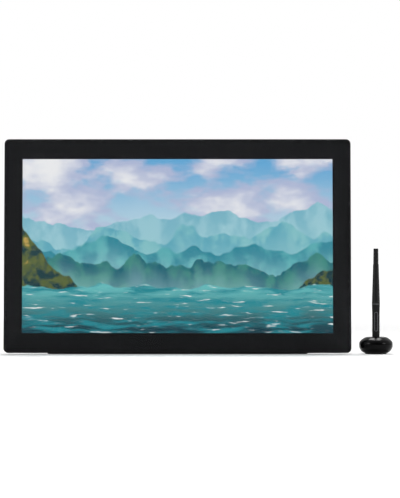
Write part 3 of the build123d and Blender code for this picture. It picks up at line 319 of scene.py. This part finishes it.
# Socket shells: drawn tin-plated steel.
socket_metal = surface(
    "tin_plated_shell", "#9a9c9e", "#bfc1c2",
    rough=0.24, spread=0.06, mottle_mm=3, grain_mm=0.3, relief_mm=0.006,
    Metallic=1.0,
)

# Flat cables: white polyester over copper lanes.
flat_cable = surface(
    "polyester_flat_cable", "#c9c5b8", "#e2dfd4",
    rough=0.4, spread=0.06, mottle_mm=6, grain_mm=0.7, relief_mm=0.03, stretch=(1, 0.05, 0.05),
)

# Keys: satin ABS, a touch lighter than the cover round them.
key_plastic = surface(
    "satin_black_abs", "#1c1c1e", "#262628",
    rough=0.38, spread=0.04, mottle_mm=4, grain_mm=0.3, relief_mm=0.01,
)

# Pen holder: polished black ABS, deep black with soft-edged lights on its crest and shoulders.
polished_black = surface(
    "polished_black_abs", "#030304", "#050506",
    rough=0.2, spread=0.03, mottle_mm=14, grain_mm=6, relief_mm=0.003,
    Specular_IOR_Level=0.12,
)

# Pen barrel, nose and tail: satin painted plastic, black with one soft line of light.
satin_barrel = surface(
    "satin_black_paint", "#0d0d0e", "#131314",
    rough=0.36, spread=0.04, mottle_mm=9, grain_mm=0.4, relief_mm=0.008,
    Specular_IOR_Level=0.3,
)

# Pen grip: soft-touch silicone, a shade lighter than the barrel, dull, with hardly any shine.
soft_grip = surface(
    "soft_touch_silicone", "#101011", "#171718",
    rough=0.66, spread=0.05, mottle_mm=7, grain_mm=0.4, relief_mm=0.02,
    Specular_IOR_Level=0.25,
)

# Pen buttons: hard polished plastic, black between the lighter edges of their bezel.
pen_gloss = surface(
    "polished_black_buttons", "#070708", "#0c0c0d",
    rough=0.16, spread=0.03, mottle_mm=5, grain_mm=3, relief_mm=0.003,
    Specular_IOR_Level=0.35,
)

# Pen ring and button bezel: satin nickel-grey plastic. Its light grey is partly the trim's own colour and
# partly a painted highlight on the ring's and bezel's edges, drawn as thin light lines between the black
# parts.
pen_trim = surface(
    "grey_trim_with_painted_highlight", "#5c5d61", "#68696d",
    rough=0.34, spread=0.04, mottle_mm=5, grain_mm=0.3, relief_mm=0.004,
    Specular_IOR_Level=0.4,
)

# Nibs: worn acetal, dark grey and waxy.
nib_acetal = surface(
    "black_acetal", "#202022", "#2d2d30",
    rough=0.42, spread=0.06, mottle_mm=1.5, grain_mm=0.3, relief_mm=0.01,
)

# Coil: enamelled copper wire over ferrite, dark red brown in fine turns.
copper_coil = surface(
    "enamelled_copper_wire", "#4a2114", "#8a4526",
    rough=0.3, spread=0.08, mottle_mm=1.5, grain_mm=0.25, relief_mm=0.05, stretch=(1, 1, 8),
)


def picture_material():
    """A lit wallpaper of a misty lake: sky and cloud above, ranges of hills, and rippled water below."""
    material, tree, shader, coordinates = new_material("lit_lcd_picture")
    flat = add_node(
        tree,
        "ShaderNodeMapping",
        {
            "Rotation": (LEAN - math.pi / 2, 0, 0),
            "Location": (SCREEN_WIDTH / 2, -FOOT_PROUD - BOTTOM_BEZEL, -FOOT_DEPTH),
        },
        {"Vector": coordinates},
    )
    # From here on one unit is the picture's height, and its lower left corner is the origin
    unit = 1 / SCREEN_HEIGHT
    page = add_node(tree, "ShaderNodeVectorMath", {"operation": "SCALE", "Scale": unit}, {0: flat.outputs[0]})
    # A painter's wobble, so that no edge in the picture is dead straight
    wobble = 0.045
    sway = add_node(tree, "ShaderNodeTexNoise", {"Scale": 5.0, "Detail": 4.0}, {"Vector": page.outputs[0]})
    centred = add_node(
        tree,
        "ShaderNodeVectorMath",
        {"operation": "SUBTRACT", 1: (0.5, 0.5, 0.5)},
        {0: sway.outputs["Color"]},
    )
    nudge = add_node(
        tree, "ShaderNodeVectorMath", {"operation": "SCALE", "Scale": wobble}, {0: centred.outputs[0]}
    )
    painted = add_node(
        tree, "ShaderNodeVectorMath", {"operation": "ADD"}, {0: page.outputs[0], 1: nudge.outputs[0]}
    )
    axes = add_node(tree, "ShaderNodeSeparateXYZ", links={0: painted.outputs[0]})
    across, up = axes.outputs[0], axes.outputs[1]

    def mixed_node(kind, settings, inputs):
        """A node whose inputs are given by number, each as a plain value or as another node's output."""
        settings, links = dict(settings), {}
        for index, value in inputs:
            if isinstance(value, (float, tuple)):
                settings[index] = value
            else:
                links[index] = value
        return add_node(tree, kind, settings, links)

    def math_node(operation, first, second):
        """The result of one sum."""
        return mixed_node("ShaderNodeMath", {"operation": operation}, ((0, first), (1, second))).outputs[0]

    def blend(amount, under, over):
        """One colour laid over another by an amount."""
        inputs = ((SHARE, amount), (FIRST_COLOUR, under), (SECOND_COLOUR, over))
        return mixed_node("ShaderNodeMix", {"data_type": "RGBA"}, inputs).outputs[COLOUR_RESULT]

    def soft_step(value, low, high):
        """Zero below a height, one above another, and a soft rise between."""
        return add_node(
            tree,
            "ShaderNodeMapRange",
            {"interpolation_type": "SMOOTHSTEP", "From Min": low, "From Max": high},
            {"Value": value},
        ).outputs[0]

    def cloud_noise(scale, stretch, shift, detail=6.0):
        """Soft patches across the picture, stretched and shifted."""
        moved = add_node(
            tree, "ShaderNodeMapping", {"Scale": stretch, "Location": shift}, {"Vector": painted.outputs[0]}
        )
        return add_node(
            tree,
            "ShaderNodeTexNoise",
            {"Scale": scale, "Detail": detail, "Roughness": 0.55},
            {"Vector": moved.outputs[0]},
        ).outputs["Fac"]

    def rough_line(seed, settings):
        """A jagged line across the picture, as a height about one half."""
        return add_node(
            tree,
            "ShaderNodeTexNoise",
            {"noise_dimensions": "1D", **settings},
            {"W": math_node("ADD", across, seed)},
        ).outputs["Fac"]

    # Sky, blue at the top and pale above the hills, with banks of cloud and their lilac shades
    pale_height, blue_height = 0.45, 1.05
    sky = blend(soft_step(up, pale_height, blue_height), linear("#cfeaf3"), linear("#63b0e2"))
    cloud_scale, cloud_stretch = 2.3, (1.0, 1.9, 1.0)
    bank = cloud_noise(cloud_scale, cloud_stretch, (0.3, 0.0, 1.0))
    bank_shade = cloud_noise(cloud_scale, cloud_stretch, (0.33, 0.05, 1.0))
    cloud_body = blend(soft_step(bank_shade, 0.45, 0.68), linear("#b9c4e4"), linear("#fbfcfe"))
    picture = blend(soft_step(bank, 0.41, 0.53), sky, cloud_body)

    # Ranges of hills, paler with distance: their level, rise, spread, seed, and two tones
    ridge_softness = 0.006
    mist_depth, mist_share = 0.22, 0.45
    ranges = (
        (0.66, 0.20, 1.6, 3.1, "#9fd3e0", "#7fbfd2"),
        (0.57, 0.22, 2.1, 7.7, "#63b3c6", "#8accd2"),
        (0.48, 0.24, 1.5, 12.4, "#2f8fa2", "#5db7bd"),
        (0.40, 0.20, 2.6, 21.9, "#17697a", "#3d8f84"),
    )
    for level, rise, spread, seed, tone, other in ranges:
        line = rough_line(seed, {"Scale": spread, "Detail": 7.0, "Roughness": 0.5})
        ridge = math_node("ADD", math_node("MULTIPLY", math_node("SUBTRACT", line, 0.5), rise * 2), level)
        under = math_node("SUBTRACT", ridge, up)
        slope = cloud_noise(9.0, (1.0, 0.6, 1.0), (seed, 0.0, 0.0))
        ground = blend(soft_step(slope, 0.42, 0.62), linear(tone), linear(other))
        mist = blend(soft_step(under, 0.0, mist_depth), ground, linear("#a8dbe0"))
        body = blend(mist_share, ground, mist)
        picture = blend(soft_step(under, 0.0, ridge_softness), picture, body)

    # Near shores, left and right, in olive and old gold over deep teal: their level at the left edge
    # of the picture, slope and seed
    shore_rise, shore_softness = 0.22, 0.012
    for level, slope, seed in ((0.62, -1.15, 4.0), (-1.12, 0.85, 9.0)):
        shore = math_node("ADD", level, math_node("MULTIPLY", across, slope))
        edge = rough_line(seed, {"Scale": 4.0, "Detail": 6.0})
        rise = math_node("MULTIPLY", math_node("SUBTRACT", edge, 0.5), shore_rise)
        top = math_node("ADD", shore, rise)
        under = math_node("SUBTRACT", top, up)
        leaves = cloud_noise(16.0, (1.0, 1.0, 1.0), (seed, 0.0, 0.0), 3.0)
        wood = blend(soft_step(leaves, 0.40, 0.56), linear("#0e3b42"), linear("#5d6b36"))
        wood = blend(soft_step(leaves, 0.60, 0.70), wood, linear("#c9a955"))
        picture = blend(soft_step(under, 0.0, shore_softness), picture, wood)

    # Water: aqua where it is far, teal where it is near, with long ripples and white glints
    lake_level, lake_sway, lake_softness = 0.27, 0.10, 0.01
    far_height = 0.34
    lake = blend(soft_step(up, 0.0, far_height), linear("#0a3f4c"), linear("#6fcfd0"))
    ripple = cloud_noise(5.0, (1.0, 6.0, 1.0), (0.0, 0.0, 3.0))
    lake = blend(soft_step(ripple, 0.42, 0.64), lake, linear("#1f8f9b"))
    glint = cloud_noise(8.0, (1.0, 9.0, 1.0), (2.0, 0.0, 5.0), 5.0)
    lake = blend(soft_step(glint, 0.60, 0.68), lake, linear("#f2fbfa"))
    shore_sway = math_node("MULTIPLY", math_node("SUBTRACT", sway.outputs["Fac"], 0.5), lake_sway)
    shoreline = math_node("ADD", lake_level, shore_sway)
    under = math_node("SUBTRACT", shoreline, up)
    picture = blend(soft_step(under, 0.0, lake_softness), picture, lake)

    tree.links.new(picture, shader.inputs["Emission Color"])
    shader.inputs["Emission Strength"].default_value = 1.0
    shader.inputs["Base Color"].default_value = linear("#050506")
    shader.inputs["Roughness"].default_value = 0.4
    shader.inputs["Specular IOR Level"].default_value = 0.05
    return material


lcd_picture = picture_material()

# Finish of each material slot in the record
finishes = {
    "etched_glass": etched_glass,
    "border_ink": border_ink,
    "clear_bond": clear_gel,
    "tape": foam_tape,
    "screen": black_matrix,
    "films": backlight_film,
    "light_guide": acrylic_guide,
    "inner_plastic": inner_plastic,
    "tray_metal": tray_paint,
    "circuit_board": solder_mask,
    "shield": zinc_sheet,
    "case_plastic": case_plastic,
    "cover_metal": blasted_cover,
    "steel": plated_steel,
    "black_screw": oxide_screw,
    "insert_brass": turned_brass,
    "foot_rubber": silicone_rubber,
    "socket_metal": socket_metal,
    "ribbon": flat_cable,
    "leg_metal": brushed_leg,
    "key_plastic": key_plastic,
    "holder_gloss": polished_black,
    "pen_plastic": satin_barrel,
    "grip_rubber": soft_grip,
    "pen_gloss": pen_gloss,
    "pen_trim": pen_trim,
    "nib_plastic": nib_acetal,
    "ferrite": copper_coil,
}
for part in frame["record"]["subparts"]:
    node = frame["nodes"].get(part.get("node", part.get("name")))
    finish = finishes[part["material_slot"]]
    if not node.material_slots:
        node.data.materials.append(finish)
    for place in node.material_slots:
        place.material = finish


def finish_piece(bm, name, body, slot, *materials):
    """Turns a bmesh into a piece that rides on a body; the slot argument is not used."""
    mesh = bpy.data.meshes.new(name)
    bm.to_mesh(mesh)
    bm.free()
    piece = bpy.data.objects.new(name, mesh)
    for material in materials:
        mesh.materials.append(material)
    scene.collection.objects.link(piece)
    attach(piece, body)
    return piece


# Bonded screen: the lit picture, with the black matrix as a strip round it, behind the glass
bm = bmesh.new()
bmesh.ops.create_grid(bm, x_segments=1, y_segments=1, size=0.5)
width = SCREEN_WIDTH + 2 * WINDOW_MARGIN
height = SCREEN_HEIGHT + 2 * WINDOW_MARGIN
bmesh.ops.scale(bm, vec=(width, height, 1), verts=bm.verts)
picture_face = bm.faces[:]
bmesh.ops.inset_region(
    bm,
    faces=picture_face,
    use_boundary=True,
    use_even_offset=True,
    thickness=WINDOW_MARGIN,
    depth=-PICTURE_SUNK,
)
for face in bm.faces:
    face.material_index = 1 if face in picture_face else 0
rim = [edge for edge in bm.edges if edge.is_boundary]
walls = bmesh.ops.extrude_edge_only(bm, edges=rim)["geom"]
wall_verts = [v for v in walls if isinstance(v, bmesh.types.BMVert)]
bmesh.ops.translate(bm, vec=(0, 0, -SHEET_THICKNESS), verts=wall_verts)
back = bmesh.ops.holes_fill(bm, edges=[e for e in bm.edges if e.is_boundary], sides=0)["faces"]
for face in back:
    face.material_index = 0
bmesh.ops.recalc_face_normals(bm, faces=bm.faces)
bmesh.ops.transform(bm, matrix=face_frame(0, BOTTOM_BEZEL + SCREEN_HEIGHT / 2, SHEET_DEPTH), verts=bm.verts)
bonded_screen = finish_piece(bm, "bonded_screen", "display", "screen", black_matrix, lcd_picture)
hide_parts("optical_bond")


# Floor: a pale sweep of paper that fades into the white behind it
def floor_material():
    """Matt white paper that keeps the shadows, with a glow that only the camera sees."""
    material, tree, shader, coordinates = new_material("white_paper_sweep")
    tree.nodes.remove(tree.nodes["Material Output"])
    fibre_mm = 3.0
    fibres = add_node(
        tree, "ShaderNodeTexNoise", {"Scale": per_metre(fibre_mm), "Detail": 3.0}, {"Vector": coordinates}
    )
    tone = add_node(
        tree,
        "ShaderNodeMix",
        {"data_type": "RGBA", FIRST_COLOUR: linear("#f7f7f7"), SECOND_COLOUR: linear("#fafafa")},
        {SHARE: fibres.outputs["Fac"]},
    )
    tree.links.new(tone.outputs[COLOUR_RESULT], shader.inputs["Base Color"])
    shader.inputs["Roughness"].default_value = 0.9
    shader.inputs["Specular IOR Level"].default_value = 0.1
    # The glow only makes up, for the camera, what the top light loses with the distance from its foot
    light_foot = (TOP_LIGHT[0], TOP_LIGHT[1], 0)
    distance = add_node(
        tree, "ShaderNodeVectorMath", {"operation": "DISTANCE", 1: light_foot}, {0: coordinates}
    )
    glow = add_node(
        tree,
        "ShaderNodeMapRange",
        {"From Min": GLOW_FROM, "From Max": GLOW_TO, "To Min": GLOW_LEAST, "To Max": GLOW_MOST},
        {"Value": distance.outputs["Value"]},
    )
    path = add_node(tree, "ShaderNodeLightPath")
    seen = add_node(
        tree,
        "ShaderNodeMath",
        {"operation": "MULTIPLY"},
        {0: glow.outputs[0], 1: path.outputs["Is Camera Ray"]},
    )
    emission = add_node(tree, "ShaderNodeEmission", {"Color": WHITE}, {"Strength": seen.outputs[0]})
    both = add_node(tree, "ShaderNodeAddShader", links={0: shader.outputs[0], 1: emission.outputs[0]})
    add_node(tree, "ShaderNodeOutputMaterial", links={"Surface": both.outputs[0]})
    return material


bm = bmesh.new()
bmesh.ops.create_circle(bm, cap_ends=True, segments=FLOOR_SIDES, radius=FLOOR_RADIUS)
bmesh.ops.translate(bm, vec=(0, 0, -FLOOR_DROP), verts=bm.verts)
floor_mesh = bpy.data.meshes.new("floor")
bm.to_mesh(floor_mesh)
bm.free()
floor = bpy.data.objects.new("floor", floor_mesh)
floor_mesh.materials.append(floor_material())
scene.collection.objects.link(floor)

# World: plain light all round, seen as white by the camera, and dimmer behind the camera in gloss
world = bpy.data.worlds.new("plain_studio")
scene.world = world
world.use_nodes = True
sky_tree = world.node_tree
sky_tree.nodes.clear()
direction = add_node(sky_tree, "ShaderNodeTexCoord").outputs["Generated"]
along = add_node(sky_tree, "ShaderNodeSeparateXYZ", links={0: direction}).outputs[1]
studio = add_node(
    sky_tree,
    "ShaderNodeMapRange",
    {
        "interpolation_type": "SMOOTHSTEP",
        "From Min": BEHIND_ALONG,
        "From Max": ELSEWHERE_ALONG,
        "To Min": GLOSS_BEHIND,
        "To Max": GLOSS_ELSEWHERE,
    },
    {"Value": along},
)
path = add_node(sky_tree, "ShaderNodeLightPath")
white_seen = add_node(
    sky_tree,
    "ShaderNodeMath",
    {"operation": "MAXIMUM"},
    {0: path.outputs["Is Camera Ray"], 1: path.outputs["Is Transmission Ray"]},
)
for_gloss = add_node(
    sky_tree,
    "ShaderNodeMix",
    {"data_type": "FLOAT", FIRST_NUMBER: ROOM_LIGHT},
    {SHARE: path.outputs["Is Glossy Ray"], SECOND_NUMBER: studio.outputs[0]},
)
strength = add_node(
    sky_tree,
    "ShaderNodeMix",
    {"data_type": "FLOAT", SECOND_NUMBER: 1.0},
    {SHARE: white_seen.outputs[0], FIRST_NUMBER: for_gloss.outputs[0]},
)
backdrop = add_node(sky_tree, "ShaderNodeBackground", {"Color": WHITE}, {"Strength": strength.outputs[0]})
add_node(sky_tree, "ShaderNodeOutputWorld", links={"Surface": backdrop.outputs[0]})

# Lamps: soft boxes that face the object
for name, place, width, height, power in LAMPS:
    light = bpy.data.lights.new(name, "AREA")
    light.shape = "RECTANGLE"
    light.size = width
    light.size_y = height
    light.energy = power
    lamp = bpy.data.objects.new(name, light)
    lamp.location = place
    lamp.rotation_euler = (Vector(LAMP_TARGET) - Vector(place)).to_track_quat("-Z", "Y").to_euler()
    scene.collection.objects.link(lamp)

scene.view_settings.view_transform = "Standard"
